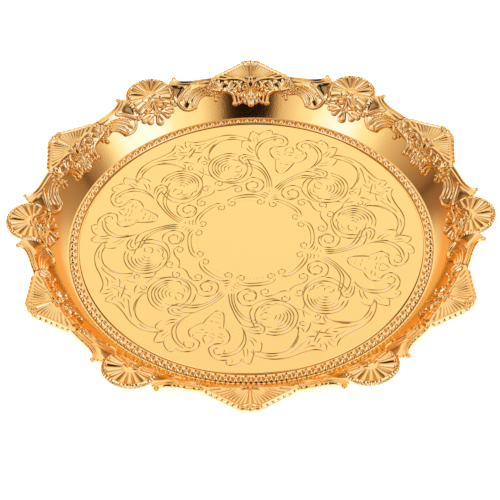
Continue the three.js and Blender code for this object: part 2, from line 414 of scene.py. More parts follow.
def rail_relief(along, out):
    relief = Relief(along, out)
    roll, knob = relief.roll, relief.knob
    ground = inside_polygon(along, out, RAIL_TOP + RAIL_FOOT)
    middle, _ = to_line(along, out, smooth_path([(22, -13), (26, -9), (34, -5.6), (54, -4.6)]))
    scoop = 0.35 + 0.085 * np.clip(middle, 0, 5) ** 1.6
    stipple = 0.05 * np.sin(3.3 * along + 1.1 * out) * np.sin(3.7 * out - 0.9 * along)
    stipple *= 1 - ease(2.6, 4.6, middle)
    pocket = inside_polygon(along, out, RAIL_HOLLOW)
    groove, _ = to_line(along, out, smooth_path([(56, -0.2), (44, 0.4), (34, 1.2), (28, 2.6), (24, 5)]))
    sunk = np.sin(0.5 * math.pi * np.clip(-pocket / 2.4, 0, 1))
    shade = np.maximum(sunk, 0.5 * ease(0.5, 0.1, groove))
    # painted shade darkens the sunk hollow and the line of the groove under the mouldings
    relief.add(ground, np.maximum(scoop + stipple - sunk, 0.25), painted_shade=0.9 * shade)
    # outer mouldings, the horn and its knob
    roll([(56, 0.9), (44, 1.5), (34, 2.2), (28, 3.7), (24.2, 6), (22.1, 8.6)], 1.15, 2.6, 0.95)
    roll([(56, -1.4), (44, -0.8), (34, -0.1), (28, 1.2), (23.4, 3.8), (20.2, 7)], 0.7, 2.2, 0.6)
    knob((22.6, 9.3), 1.6, 2.8)
    # the ridge under the hollow beside the fan
    roll([(18.8, -10.6), (23, -7), (27.6, -3.2), (32.4, -1.2)], 0.85, 2.9, 0.45)
    for i in range(5):
        knob((23.0 + 2.1 * i, -9.3 + 1.15 * i), 0.55, 1.9)
    # the arch and the ball that it curls into
    roll([(56, -9), (46, -9.1), (40.6, -9.9), (36.8, -11.8), (34.4, -14.6), (32.8, -17)], 1.3, 3.0, 1.0)
    roll([(56, -6.6), (46, -6.7), (40, -7.4), (35, -9.4), (31.6, -12.6), (30.2, -15.2)], 0.6, 2.4, 0.45)
    roll([(56, -4.7), (46, -4.8), (39.2, -5.3), (33.4, -7.2), (29.4, -10.4), (28, -12.8)], 0.5, 2.1, 0.4)
    roll([(56, -3.2), (46, -3.3), (38.4, -3.6), (32, -5.2), (27.4, -8.2), (25.6, -10.6)], 0.4, 1.8, 0.35)
    knob((30, -15.2), 0.9, 2.6)
    knob((32.4, -17.2), 1.75, 3.4)
    hook = [(32, -17.8), (29, -18.3), (25.4, -18.1), (21.8, -16.2), (19.4, -12.8), (18.4, -9.6)]
    roll(hook, 1.2, 2.9, 0.9)
    return relief


# %% [markdown]
# ## From relief to metal
# A fine grid is laid over the casting. Grid points just outside the outline are pulled onto it, so the
# edge is clean, and the face is lifted by its relief. A wall runs down from the edge to a flat back, which
# is the outline filled with coarse triangles. The whole is then bent onto the border.

# %% Building a casting
GRID = 0.3
BACK_LIFT = 0.06
BODY_LIFT = 0.3
RELIEF = 0.76
BACK_STEP, BACK_MARGIN = 3.0, 1.0
WIDE_ROUNDS, FINE_ROUNDS = 8, 3
SHADE_FULL_DIP = 0.9
SIDES = ((0, 1), (0, -1), (1, 0), (-1, 0))


def edge_slope(design, along, out):
    """Unit direction in which the outline distance grows."""
    step = 0.02
    across = design(along + step, out).edge - design(along - step, out).edge
    upward = design(along, out + step).edge - design(along, out - step).edge
    size = np.hypot(across, upward) + 1e-9
    return across / size, upward / size


def border_loops(faces):
    """The closed chains of edges that only one face uses, running as those faces do."""
    once = {}
    for face in faces:
        for a, b in zip(face, face[1:] + face[:1]):
            if once.pop((b, a), None) is None:
                once[(a, b)] = True
    after = {}
    for a, b in once:
        after.setdefault(a, []).append(b)
    loops = []
    while after:
        here = next(iter(after))
        loop = []
        while here in after:
            loop.append(here)
            there = after[here].pop()
            if not after[here]:
                del after[here]
            here = there
        loops.append(loop)
    return loops


def soften(values, number, rounds):
    """Averages each grid value a little with its neighbours, as polishing rounds a casting."""
    for _ in range(rounds):
        full = np.zeros(number.shape)
        known = number >= 0
        full[known] = values
        total, count = full * 2.0 * known, 2.0 * known
        for shift in SIDES:
            beside = np.roll(known, shift, (0, 1))
            total += np.roll(full, shift, (0, 1)) * beside
            count = count + beside
        values = (total / np.maximum(count, 1))[known]
    return values


def casting(design, box):
    """Builds one casting: points in (along, out, lift), faces, and how much painted shade darkens each
    point.
    """
    low_along, low_out, high_along, high_out = box
    columns = int(round((high_along - low_along) / GRID)) + 1
    rows = int(round((high_out - low_out) / GRID)) + 1
    a, o = np.meshgrid(np.linspace(low_along, high_along, columns), np.linspace(low_out, high_out, rows))
    edge = design(a, o).edge
    inside = (edge < 0).astype(int)
    cells = inside[:-1, :-1] + inside[1:, :-1] + inside[:-1, 1:] + inside[1:, 1:] >= 2
    used = np.zeros(inside.shape, bool)
    for dr in (0, 1):
        for dc in (0, 1):
            used[dr:rows - 1 + dr, dc:columns - 1 + dc] |= cells
    number = np.full(inside.shape, -1)
    number[used] = np.arange(used.sum())
    pa, po = a[used], o[used]
    near = edge[used] > -0.35 * GRID
    for _ in range(3):
        da, do = edge_slope(design, pa[near], po[near])
        gap = np.clip(design(pa[near], po[near]).edge, -GRID, GRID)
        pa[near] -= da * gap
        po[near] -= do * gap
    face = design(pa, po)
    lift = BODY_LIFT + RELIEF * np.maximum(face.height, 0)
    wide = soften(lift, number, WIDE_ROUNDS)
    lift = soften(lift, number, FINE_ROUNDS)
    # painted shade: a point lower than its widely softened surroundings is darkened, up to half, and the
    # marked slits more
    hollow = np.maximum(0.5 * np.clip((wide - lift) / SHADE_FULL_DIP, 0, 1), face.painted_shade)
    r, c = np.nonzero(cells)
    corners = np.stack([number[r + 1, c], number[r + 1, c + 1], number[r, c + 1], number[r, c]], -1)
    faces = corners.tolist()

    # side wall and back
    outline, chain = [], []
    total = len(pa)
    for loop in border_loops(faces):
        start, count = len(outline), len(loop)
        outline += [Vector((pa[i], po[i])) for i in loop]
        for k in range(count):
            m = (k + 1) % count
            chain.append((start + k, start + m))
            faces.append([loop[m], loop[k], total + start + k, total + start + m])
    steps = np.arange(low_along, high_along, BACK_STEP), np.arange(low_out, high_out, BACK_STEP)
    ga, go = np.meshgrid(*steps)
    deep = design(ga, go).edge < -BACK_MARGIN
    seeds = outline + [Vector(p) for p in zip(ga[deep], go[deep])]
    verts, _, triangles, origin, _, _ = delaunay_2d_cdt(seeds, chain, [], 1, 1e-6)
    place = []
    back = list(seeds)
    for vert, sources in zip(verts, origin):
        place.append(sources[0] if sources else len(back))
        if not sources:
            back.append(vert)
    faces += [[total + place[k] for k in triangle] for triangle in triangles]
    pa = np.concatenate([pa, [p[0] for p in back]])
    po = np.concatenate([po, [p[1] for p in back]])
    lift = np.concatenate([lift, np.full(len(back), BACK_LIFT)])
    hollow = np.concatenate([hollow, np.zeros(len(back))])
    print("  casting of", len(pa), "points and", len(faces), "faces")
    return pa, po, lift, faces, hollow


def add_piece(name, points, faces, hollow, material, stands_for, edge_angle=50):
    mesh = bpy.data.meshes.new(name)
    mesh.from_pydata(points.tolist(), [], faces)
    # the hollow attribute carries painted shade, which the material mixes into the colour
    layer = mesh.attributes.new("hollow", "FLOAT", "POINT")
    layer.data.foreach_set("value", np.asarray(hollow, np.float32))
    mesh.shade_smooth()
    mesh.set_sharp_from_angle(angle=math.radians(edge_angle))
    mesh.materials.append(material)
    piece = bpy.data.objects.new(name, mesh)
    scene.collection.objects.link(piece)
    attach(piece, "root")
    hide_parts(stands_for)
    return piece


def place_casting(name, parts, turn, stands_for, hand=1):
    """Bends a casting onto the rim at its own place; hand -1 mirrors it."""
    pa, po, lift, faces, hollow = parts
    points = on_border(hand * pa, po, lift)
    points[:, 0], points[:, 1] = turned(points[:, 0], points[:, 1], turn)
    if hand < 0:
        faces = [face[::-1] for face in faces]
    add_piece(name, points, faces, hollow, CAST_GOLD, stands_for)


print("casting helpers are ready")

# %% [markdown]
# ## The metal
# Polished gold-coloured brass: a warm base colour that drifts slightly, a soft gloss broken up by fine
# scratches and a faint unevenness, and painted shade: a deeper, redder tone mixed into the colour in the
# hollows, slits and grooves, where shade falls.

# %% Short ways to set up shader nodes
def fill(tree, node, inputs):
    """Links each named input of a node to an output, or sets it to a constant."""
    for name, value in inputs.items():
        if isinstance(value, bpy.types.NodeSocket):
            tree.links.new(value, node.inputs[name])
        else:
            node.inputs[name].default_value = value
    return node


def add_node(tree, kind, inputs, **settings):
    """A new node; its settings come first, because they decide which inputs it has."""
    node = tree.nodes.new(kind)
    for name, value in settings.items():
        setattr(node, name, value)
    return fill(tree, node, inputs)


def calculate(tree, operation, *values):
    """A Math node on up to three values, each of them an output or a number."""
    return add_node(tree, "ShaderNodeMath", dict(enumerate(values)), operation=operation).outputs[0]


print("node helpers are ready")

# %% A shared node group for worked gold
def gold_group():
    group = bpy.data.node_groups.new("Worked gold", "ShaderNodeTree")
    for way, kind, labels in (
        ("INPUT", "NodeSocketColor", ("Tone", "Shade tone")),
        ("INPUT", "NodeSocketFloat", ("Gloss", "Shade amount", "Drift", "Scratch")),
        ("OUTPUT", "NodeSocketColor", ("Color",)),
        ("OUTPUT", "NodeSocketFloat", ("Roughness", "Height")),
    ):
        for label in labels:
            group.interface.new_socket(label, in_out=way, socket_type=kind)
    given = group.nodes.new("NodeGroupInput").outputs
    where = add_node(group, "ShaderNodeTexCoord", {}).outputs["Object"]

    def noise(scale, detail):
        inputs = {"Vector": where, "Scale": scale, "Detail": detail}
        return add_node(group, "ShaderNodeTexNoise", inputs).outputs["Fac"]

    drift = calculate(group, "SUBTRACT", noise(35, 3), 0.5)
    shift = calculate(group, "MULTIPLY_ADD", drift, given["Drift"], 1.0)
    toned = add_node(group, "ShaderNodeVectorMath", {0: given["Tone"], "Scale": shift}, operation="SCALE")
    # painted shade: the shade amount mixes the colour toward a deeper, redder tone in hollows and slits
    mixed = {"Factor": given["Shade amount"], "A": toned.outputs["Vector"], "B": given["Shade tone"]}
    colour = add_node(group, "ShaderNodeMix", mixed, data_type="RGBA")
    rough = calculate(group, "MULTIPLY_ADD", noise(260, 4), given["Scratch"], given["Gloss"])
    results = {"Color": colour.outputs["Result"], "Roughness": rough, "Height": noise(900, 2)}
    fill(group, group.nodes.new("NodeGroupOutput"), results)
    return group


GOLD = gold_group()
DRIFT = 0.05
GRAIN_DEPTH = 0.02
EDGE_TINT = (1.0, 0.78, 0.42, 1)


def gold(name, tone, deep, gloss, scratch=0.05):
    material = bpy.data.materials.new(name)
    material.use_nodes = True
    tree = material.node_tree
    # the mesh's hollow attribute holds how much painted shade darkens each point
    shade_mask = add_node(tree, "ShaderNodeAttribute", {}, attribute_name="hollow")
    inputs = {"Tone": (*tone, 1), "Shade tone": (*deep, 1), "Gloss": gloss, "Scratch": scratch}
    inputs.update({"Drift": DRIFT, "Shade amount": shade_mask.outputs["Fac"]})
    worked = add_node(tree, "ShaderNodeGroup", inputs, node_tree=GOLD).outputs
    bumps = {"Strength": 1.0, "Distance": GRAIN_DEPTH * MM, "Height": worked["Height"]}
    grain = add_node(tree, "ShaderNodeBump", bumps)
    fill(tree, tree.nodes["Principled BSDF"], {
        "Metallic": 1.0,
        "Specular Tint": EDGE_TINT,
        "Base Color": worked["Color"],
        "Roughness": worked["Roughness"],
        "Normal": grain.outputs["Normal"],
    })
    return material


PAN_GOLD = gold("Pan gold", (1.0, 0.68, 0.25), (0.26, 0.15, 0.04), 0.08, scratch=0.03)
BAND_GOLD = gold("Band gold", (1.0, 0.67, 0.26), (0.66, 0.27, 0.05), 0.11)
CAST_GOLD = gold("Cast gold", (1.0, 0.66, 0.25), (0.30, 0.14, 0.04), 0.09)
print("materials:", [m.name for m in bpy.data.materials])

# %% [markdown]
# ## The engraving
# Four hearts, and between them leafy swirls, small volutes and a band of leaves, round a plain middle with
# a wavy frame. Every stroke is cut as a real V groove, broad in the middle and fine at its ends, as a
# graver leaves it. Half a heart and half a crossing are drawn, and the rest are their mirror images at
# four places.

# %% Strokes of the engraving
HEART_AXIS = math.radians(72.5)
CROSS_AXIS = math.radians(27.5)
BROAD, MEDIUM, FINE, DOT = 0.95, 0.8, 0.65, 1.0
LOBE_RADIUS = 44.3


def in_widths(*entries):
    """Strokes as (width, line); a width holds for the lines that follow it."""
    width = BROAD
    for entry in entries:
        if isinstance(entry, float):
            width = entry
        else:
            yield width, entry


def spiral(centre, start, end, angle, turn):
    """A scroll round a centre: radius from start to end while it turns, in degrees."""
    count = max(int(abs(turn) / 20), 4)
    t = np.linspace(0, 1, count)
    radius = start + (end - start) * t
    at = np.radians(angle + turn * t)
    return np.stack([centre[0] + radius * np.cos(at), centre[1] + radius * np.sin(at)], -1)


def frame_lobe(radius):
    """One lobe of the wavy frame, dipping at both ends where it meets its neighbours."""
    t = np.linspace(-1, 1, 15)
    turn = np.radians(22.5 + 20 * t)
    reach = radius - 3.4 * t**4
    return np.stack([reach * np.sin(turn), reach * np.cos(turn)], -1)


def heart_strokes():
    """Half a heart cartouche, the volutes below it and one lobe of the frame."""
    notch = np.array([[36.9, 36.9], [38.7, 38.7]])
    notches = [notch * [math.sin(turn), math.cos(turn)] for turn in np.radians(np.arange(10, 37, 3.4))]
    spots = [
        (14.2, 84.4), (17.4, 88.6), (17.6, 93.8), (15.4, 98.6), (12.2, 79.8), (9.2, 74.6), (17.9, 84.4),
        (0, 65), (0, 61.4), (0, 86.4), (10, 89.6), (9.4, 104.2),
    ]
    dots = [[(x - 0.55, y - 0.3), (x + 0.55, y + 0.3)] for x, y in spots]
    return in_widths(
        BROAD, frame_lobe(LOBE_RADIUS), MEDIUM, frame_lobe(LOBE_RADIUS - 2.4)[2:-2], FINE, *notches,
        MEDIUM, spiral((4.9, 37.4), 3.3, 1.0, 135, 430), [(0.9, 42.8), (3.6, 44.6), (7.2, 44.4)],
        [(0.9, 45.2), (3.2, 47), (6, 46.6)], FINE, [(0.8, 48.2), (2.4, 50), (4.2, 49.4)],
        # the big and small volutes
        BROAD, spiral((14.4, 51.5), 8.9, 1.6, 52, 600), MEDIUM, spiral((14.6, 51.6), 5.6, 4.6, 20, -150),
        spiral((24.2, 44.6), 3.7, 1.1, 60, 450), [(26, 47.9), (30.2, 45.6), (33.2, 41.8), (36.8, 39.6)],
        # straps that leave the heart's foot and hook into the swirl
        BROAD, [(0.8, 53), (4, 60.5), (9.5, 68.5), (16, 75.5), (19.5, 77), (25, 77), (30, 74.8)],
        [(2.5, 52), (5.6, 60), (11, 67.3), (17, 71.6), (24, 73), (29, 72.8), (32.5, 74.5),
         (33.8, 77.5), (32, 80.6), (27.5, 81.6), (22, 80.5)],
        MEDIUM, [(4.1, 51), (6.6, 58.5), (11, 65), (17, 69.2), (24, 70.6), (31, 71.2)],
        [(30, 75.6), (31.3, 77.3), (29.5, 79), (26, 79.4), (22.5, 78.8)],
        # the heart
        BROAD, [(17.8, 78.5), (21.8, 83), (24.6, 89), (25, 94), (22.8, 99.8), (18.3, 104.2),
         (12.3, 107)],
        MEDIUM, [(19.8, 80.2), (22.3, 86.5), (22.7, 92), (20.7, 98), (16.8, 102.4), (11.6, 105)],
        BROAD, [(18.8, 107.8), (14, 109.5), (9, 108.8), (5.2, 106), (3.4, 102.4), (4.5, 98.9),
         (7.6, 97), (11, 95.8)],
        MEDIUM, spiral((9.6, 102.2), 4.6, 1.4, -30, 330),
        BROAD, [(10.6, 97), (13.4, 94.2), (14, 90.6), (12, 86.5), (7.8, 82.6)],
        MEDIUM, [(0, 99.6), (2.7, 96.2), (3.4, 93.2)], [(0, 92.4), (2.3, 92.6), (4.4, 93.6)],
        [(0, 89.7), (2.2, 89.9), (4, 90.8)],
        BROAD, [(7.4, 84.2), (6.3, 79.5), (4.9, 75), (3, 71), (0, 69.3)],
        MEDIUM, [(0, 79.6), (2.2, 79.4), (3.8, 80.2)], [(0, 75.6), (1.6, 75.4), (2.9, 76)],
        [(0, 72.8), (1.2, 72.6), (2.2, 73.1)], [(5.4, 91.4), (8.2, 91), (9.2, 92.4)],
        [(4.6, 87.6), (6.8, 88.6), (8.8, 87.8)], [(3.2, 83.4), (5.2, 83.2), (5.9, 84.6)],
        [(9.4, 96.2), (10.6, 94.2), (9.8, 92.6)], DOT, *dots,
        # leaves on the heart's shoulder
        MEDIUM, [(16.8, 108.4), (19.4, 112), (23.6, 110.3), (26.3, 107), (27, 103.3)],
        [(26.4, 104.8), (29.4, 106.7), (33, 106.9), (33.4, 102.5), (32.8, 98), (31, 94.5)],
        [(33, 96.2), (36.3, 95.5), (36.2, 91), (34.2, 86.8)],
        FINE, [(24.5, 95.5), (26.5, 99.5), (28.3, 103.3)], [(27, 94.5), (28.7, 98), (29.8, 102)],
        MEDIUM, [(24.5, 86.9), (28.5, 88.9), (31.5, 92.4)], [(24.3, 84.3), (29, 86.2), (32.2, 89)],
        FINE, [(20.6, 106.8), (21.6, 108.6), (21, 110.2)],
    )


def cross_strokes():
    """Half a crossing: the swirl with its leaf ribs, the band of leaves and the knot between them."""
    return in_widths(
        # the swirl: rings that tighten toward its heart, each a little shorter than the last
        BROAD, spiral((19, 71.3), 16.3, 13.2, 38, 325), spiral((19, 71.3), 13.7, 11.6, 42, 180),
        spiral((18.6, 71.2), 11.4, 9.4, 54, 150), spiral((18.4, 70.8), 9.3, 7.4, 62, 132),
        MEDIUM, spiral((18.6, 70.2), 7.4, 5.6, 66, 122), spiral((19.2, 69.6), 5.6, 4.0, 68, 115),
        spiral((20.4, 69.2), 3.9, 2.6, 60, 120), [(27.8, 67.2), (25.6, 64.8), (22.4, 65.2), (20.6, 68)],
        [(22.8, 69), (25.6, 70.3), (28.4, 68)],
        [(24.8, 61.2), (21, 58.9), (17.4, 59.6), (15, 61.6), (12.6, 61), (11.2, 64)],
        FINE, [(24.2, 63.4), (20.6, 61.6), (17.6, 62.6)], MEDIUM, [(30.6, 70), (29.2, 75), (24.6, 79)],
        [(8.4, 60.2), (13, 56.6), (19, 54.6), (24.6, 54.4), (29, 55.8)],
        BROAD, [(35.4, 74.6), (34.4, 66), (32, 60), (27.6, 56.2)],
        # the foot: a pair of ringlets and the stem to the small volute
        MEDIUM, spiral((5.4, 60.1), 3.5, 1.0, 190, -440),
        [(0, 57), (1.8, 54.4), (6.5, 53.2), (12.6, 53.6), (16.6, 51.8), (18, 48.6)],
        # the wavy frame's own ringlets
        spiral((4.5, 37.9), 3.1, 1.0, 135, 430),
        # the band of leaves
        BROAD, [(4.3, 113.6), (6.7, 110.6), (11, 108), (19, 106.6), (28, 106), (36, 103.4), (42, 98.9),
         (46, 93.6), (47, 89)],
        [(42.5, 92.2), (38, 96.9), (32, 99.7), (26, 100.3), (20, 98), (14.5, 93.8), (11, 89), (9.3, 85)],
        MEDIUM, [(40.8, 97.4), (37, 100), (32.2, 101.5)],
        [(26.6, 103.4), (20, 102.2), (14, 100), (9, 98.6)], [(22.6, 100.6), (17, 97.2), (12.4, 92.6)],
        [(17, 104), (11, 104.4), (6.6, 106.8)], [(42.5, 92.2), (45, 91.7), (46.8, 88.7)],
        [(4.1, 113.4), (1.6, 110), (1.4, 105.4)], [(6.2, 109.4), (4.2, 107), (4.4, 104.4)],
        # the knot of straps
        BROAD, [(-2.6, 95), (2, 98.4), (7.4, 103)], MEDIUM, [(7.6, 100.2), (12, 103)],
        [(2.6, 99.6), (7, 97.2), (10.8, 96.6)], [(6.4, 104.6), (2.4, 102.2), (0, 101)],
        BROAD, [(0.6, 86.8), (3.5, 90.5), (8, 93.2)], MEDIUM, [(8.6, 92.6), (8.3, 89), (9.8, 85.5)],
        FINE, [(11.4, 89.4), (10.9, 86.3), (11.8, 84)], MEDIUM, spiral((5.6, 84.8), 2.6, 1.0, 150, -380),
        [(2.7, 82), (1.1, 78), (0, 74.2)], [(0, 74.6), (3.2, 71.6), (5, 66)],
    )


def all_strokes():
    """Every stroke on the floor, as (width, points), from its half drawings."""
    for axis, drawing in ((HEART_AXIS, heart_strokes), (CROSS_AXIS, cross_strokes)):
        for width, points in drawing():
            points = smooth_path(points, per_span=5)
            for quarter in range(4):
                turn = axis + (quarter - 1) * math.pi / 2
                for side in (1, -1):
                    yield width, np.stack(turned(side * points[:, 0], points[:, 1], turn), -1)


print("strokes cut in the floor:", sum(1 for _ in all_strokes()))

# %% [markdown]
# ## Cutting the grooves into the floor
# The floor is one flat face, divided so that every stroke has a line down its middle and one at each edge;
# the middle is then pushed down. A fine grid would need ten times as many faces for lines this crisp.

# %% The engraved floor
STROKE_STEP, FINE_STEP = 1.0, 0.3
TAPER = 3.0
GROOVE_SLOPE = 0.36
FULL_SHADE, FULL_SHADE_DEPTH = 0.75, 0.12
ROUND = 360
TURNS = np.arange(ROUND) * 2 * math.pi / ROUND
FLAT_RADIUS = 119.2
MOST_SPOTS = 60000


def resample(line, step):
    steps = np.hypot(*np.diff(line, axis=0).T)
    at = np.concatenate([[0], np.cumsum(steps)])
    count = max(int(round(at[-1] / step)), 2) + 1
    want = np.linspace(0, at[-1], count)
    return np.stack([np.interp(want, at, line[:, 0]), np.interp(want, at, line[:, 1])], -1), want


def engraved_floor():
    """Points (x, y, depth) and faces of the floor, the rim first; all in mm."""
    points = [ring_points(FLAT_RADIUS, 0, TURNS)[:, :2]]
    edges = [(i, (i + 1) % ROUND) for i in range(ROUND)]
    total = ROUND
    middles = KDTree(MOST_SPOTS)
    half_widths = []
    for width, drawn in all_strokes():
        line, run = resample(drawn, STROKE_STEP)
        ends = np.minimum(1, np.minimum(run, run[-1] - run) / TAPER)
        half = 0.5 * width * np.sqrt(np.clip(ends, 0, 1))
        along = np.gradient(line, axis=0)
        along /= np.hypot(along[:, 0], along[:, 1])[:, None] + 1e-9
        side = np.stack([-along[:, 1], along[:, 0]], -1) * half[:, None]
        n = len(line)
        points += [line, (line + side)[1:-1], (line - side)[1:-1]]
        middle = total + np.arange(n)
        left = np.concatenate([middle[:1], total + n + np.arange(n - 2), middle[-1:]])
        right = np.concatenate([middle[:1], total + 2 * n - 2 + np.arange(n - 2), middle[-1:]])
        for chain in (middle, left, right):
            edges += list(zip(chain[:-1].tolist(), chain[1:].tolist()))
        total += 3 * n - 4
        fine, run_fine = resample(drawn, FINE_STEP)
        for spots, sizes in ((line, half), (fine, np.interp(run_fine, run, half))):
            for (x, y), size in zip(spots.tolist(), sizes.tolist()):
                middles.insert((x, y, 0), len(half_widths))
                half_widths.append(size)
    middles.balance()
    seeds = [Vector(p) for p in np.concatenate(points).tolist()]
    verts, _, faces, _, _, _ = delaunay_2d_cdt(seeds, edges, [], 1, 1e-5)
    reach = max(half_widths)
    depth = []
    for x, y in verts:
        cut = 0.0
        for _, index, gap in middles.find_range((x, y, 0), reach):
            cut = max(cut, half_widths[index] - gap)
        depth.append(cut * GROOVE_SLOPE)
    flat = np.array([(p[0], p[1]) for p in verts])
    return flat, np.array(depth), [list(face) for face in faces]


floor_points, floor_depth, floor_faces = engraved_floor()
print("floor points", len(floor_points), "faces", len(floor_faces))
print("deepest groove", round(floor_depth.max(), 2), "mm")

# %% [markdown]
# ## The pan
# Spun from one disc of sheet: the raised floor, the seat for the beaded band, the wall, and a flange with
# a rounded edge. The section is turned about the axis, and its first ring is sewn to the engraved floor.

# %% Spin the pan
EDGE_TURNS = np.radians([68, 38, 8, -22, -52])
UNDERSIDE = FLOOR_TOP - SHEET


def pan_section():
    """From the floor's edge out over the wall, round the edge, and back in underneath."""
    step = [(FLOOR_RADIUS + x, FLOOR_TOP - drop) for x, drop in ((-0.35, 0), (0, 0.1), (0.15, 0.4))]
    seat = [(FLOOR_RADIUS + 0.35, SHEET), (FLOOR_RADIUS + 1.5, SHEET), (SEAT_RADIUS - 1.4, SHEET)]
    edge = FLANGE_EDGE - SHEET / 2
    used = LINE[LINE[:, 0] < edge]
    top = used[2:WALL_POINTS:2].tolist() + used[WALL_POINTS:].tolist()
    slope = np.gradient(used, axis=0)
    slope /= np.hypot(slope[:, 0], slope[:, 1])[:, None]
    under = used + SHEET * np.stack([slope[:, 1], -slope[:, 0]], -1)
    last = used[-1] + 0.5 * (under[-1] - used[-1])
    roll = [last + SHEET / 2 * heading(turn) for turn in EDGE_TURNS]
    below = under[under[:, 1] > 0.05][::-3].tolist()
    foot = [(SEAT_RADIUS - 0.6, 0.0), (FLOOR_RADIUS + 1.0, 0.0), (FLOOR_RADIUS - 0.4, 0.35)]
    inner = [(radius, UNDERSIDE) for radius in (FLOOR_RADIUS - 1, 90, 50, 15)]
    return np.array(step + seat + top + roll + below + foot + inner, float)


def spin_pan():
    section = pan_section()
    base = len(floor_points)
    floor = np.column_stack([floor_points, FLOOR_TOP - floor_depth])
    rings = [ring_points(radius, height, TURNS) for radius, height in section]
    points = np.concatenate([floor] + rings + [[[0, 0, UNDERSIDE]]])
    starts = [0] + [base + ROUND * k for k in range(len(section))]
    faces = list(floor_faces)
    for first, second in zip(starts, starts[1:]):
        faces += sew(first, second, ROUND)
    hub, last = len(points) - 1, starts[-1]
    faces += [[last + i, hub, last + (i + 1) % ROUND] for i in range(ROUND)]
    # painted shade: the colour darkens with the depth of each groove
    shade = FULL_SHADE * np.clip(floor_depth / FULL_SHADE_DEPTH, 0, 1)
    return points * MM, faces, np.concatenate([shade, np.zeros(len(points) - base)])


pan_points, pan_faces, pan_shade = spin_pan()
pan = add_piece("pan_sheet", pan_points, pan_faces, pan_shade, PAN_GOLD, "pan", edge_angle=12)
for face in pan.data.polygons[:len(floor_faces)]:
    face.use_smooth = False
print("pan faces:", len(pan_faces))

# %% [markdown]
# ## The beaded band
# A strip pressed with 120 round eggs, each in a ring groove, with a plain fillet on the inner side. One
# unit is drawn as relief and repeated round the ring.

# %% Press the band
UNITS = 120
UNIT_TURN = 2 * math.pi / UNITS
BAND_INNER, BAND_OUTER = 121.2, 127.0
BAND_MIDDLE = (BAND_INNER + BAND_OUTER) / 2
UNIT_WIDTH = BAND_MIDDLE * UNIT_TURN
UNIT_COLUMNS, BAND_ROWS = 24, 26
BAND_BASE = (band_low.z / MM) + 0.02
BAND_HEIGHT = (band_high.z - band_low.z) / MM - 0.04
EGG_OUT, EGG_RADIUS, EGG_HEIGHT = 3.5, 1.95, 1.62
GROOVE_RADIUS, GROOVE_HALF_WIDTH = 2.2, 0.5


def band_relief(along, out):
    """One unit; out runs from 0 at the inner edge to the full width at the outer edge."""
    width = BAND_OUTER - BAND_INNER
    shelf = 0.95 * ease(0.0, 0.3, out) * (1 - ease(width - 0.35, width, out))
    beyond = out - EGG_OUT
    ring = np.hypot(along, np.maximum(beyond, 0) * 0.75 + np.minimum(beyond, 0) * 0.95)
    groove = np.clip(1 - (np.abs(ring - GROOVE_RADIUS) / GROOVE_HALF_WIDTH) ** 2, 0, 1)
    shelf -= 0.7 * groove * ease(0.0, 0.6, out)
    relief = np.maximum.reduce([shelf, EGG_HEIGHT * dome(ring, EGG_RADIUS), 0.9 * dome(out - 0.5, 0.5)])
    return relief / EGG_HEIGHT * BAND_HEIGHT


def press_band():
    t = np.linspace(-UNIT_WIDTH / 2, UNIT_WIDTH / 2, UNIT_COLUMNS, endpoint=False)
    out = np.linspace(0, BAND_OUTER - BAND_INNER, BAND_ROWS)
    along, across = np.meshgrid(t, out)
    relief = band_relief(along, across)
    relief[0] = relief[-1] = 0
    smoothed = (relief + np.roll(relief, 1, 1) + np.roll(relief, -1, 1)) / 3
    # painted shade: the lower the pressed surface, the darker its colour
    hollow = 0.45 * np.clip(1 - relief / BAND_HEIGHT * 1.8, 0, 1)
    relief = 0.5 * relief + 0.5 * smoothed
    columns = UNITS * UNIT_COLUMNS
    turns = np.arange(columns) * 2 * math.pi / columns
    rows = []
    for radius, line in zip(BAND_INNER + out, relief):
        rows.append(ring_points(radius, BAND_BASE + np.tile(line, UNITS), turns))
    shade_mask = [np.tile(line, UNITS) for line in hollow]
    faces = []
    for k in range(BAND_ROWS):
        faces += sew(k * columns, (k + 1) % BAND_ROWS * columns, columns)
    return np.concatenate(rows) * MM, faces, np.concatenate(shade_mask)


band_points, band_faces, band_shade = press_band()
add_piece("beaded_ring", band_points, band_faces, band_shade, BAND_GOLD, "bead_band")
print("band faces:", len(band_faces))

# %% [markdown]
# ## Placing the mounts
# Each casting is made once and set on the rim wherever the real tray has it.

# %% Cast the mounts
PITCH = math.pi / LOBES
JOINT = 0.12
fan_parts = casting(fan_relief, (-20, -24.6, 20, 19.2))
shell_parts = casting(shell_relief, (-36.6, -23.4, 36.6, 18.6))


def clear_of_neighbours(along, out):
    """The rail, cut back to leave a hairline joint beside the fan and the shell."""
    relief = rail_relief(along, out)
    spread = FLANGE_RADIUS * PITCH
    relief.edge = np.maximum(relief.edge, JOINT - fan_relief(along, out).edge)
    relief.edge = np.maximum(relief.edge, JOINT - shell_relief(along - spread, out).edge)
    return relief


rail_parts = casting(clear_of_neighbours, (13, -20.4, 56, 13))
for i in range(LOBES):
    turn = 2 * PITCH * i
    place_casting(f"fan_{i + 1}", fan_parts, turn, f"round_fan_{i + 1}")
    place_casting(f"shell_{i + 1}", shell_parts, turn + PITCH, f"pointed_shell_{i + 1}")
    for side, hand in (("left", 1), ("right", -1)):
        node = f"scroll_rail_{side}_{i + 1}"
        place_casting(f"rail_{side}_{i + 1}", rail_parts, turn, node, hand)
print("mounts placed:", 4 * LOBES)

# %% [markdown]
# ## The stage
# A pale floor, a broad soft light from above, and a world drawn by direction. Polished metal shows only
# what stands round it, so the world holds what the tray mirrors: a plain bright panel behind, which the
# floor of the tray shows, and light and dark spokes round that panel, which draw the stripes on the wall.

# %% Floor, camera and lights
ELEVATION, AROUND, ROLL = math.radians(46.134), math.radians(1.287), math.radians(-1.75)
DISTANCE = 1.01959
STAGE_SIDE, STAGE_DROP = 3.0, 0.2


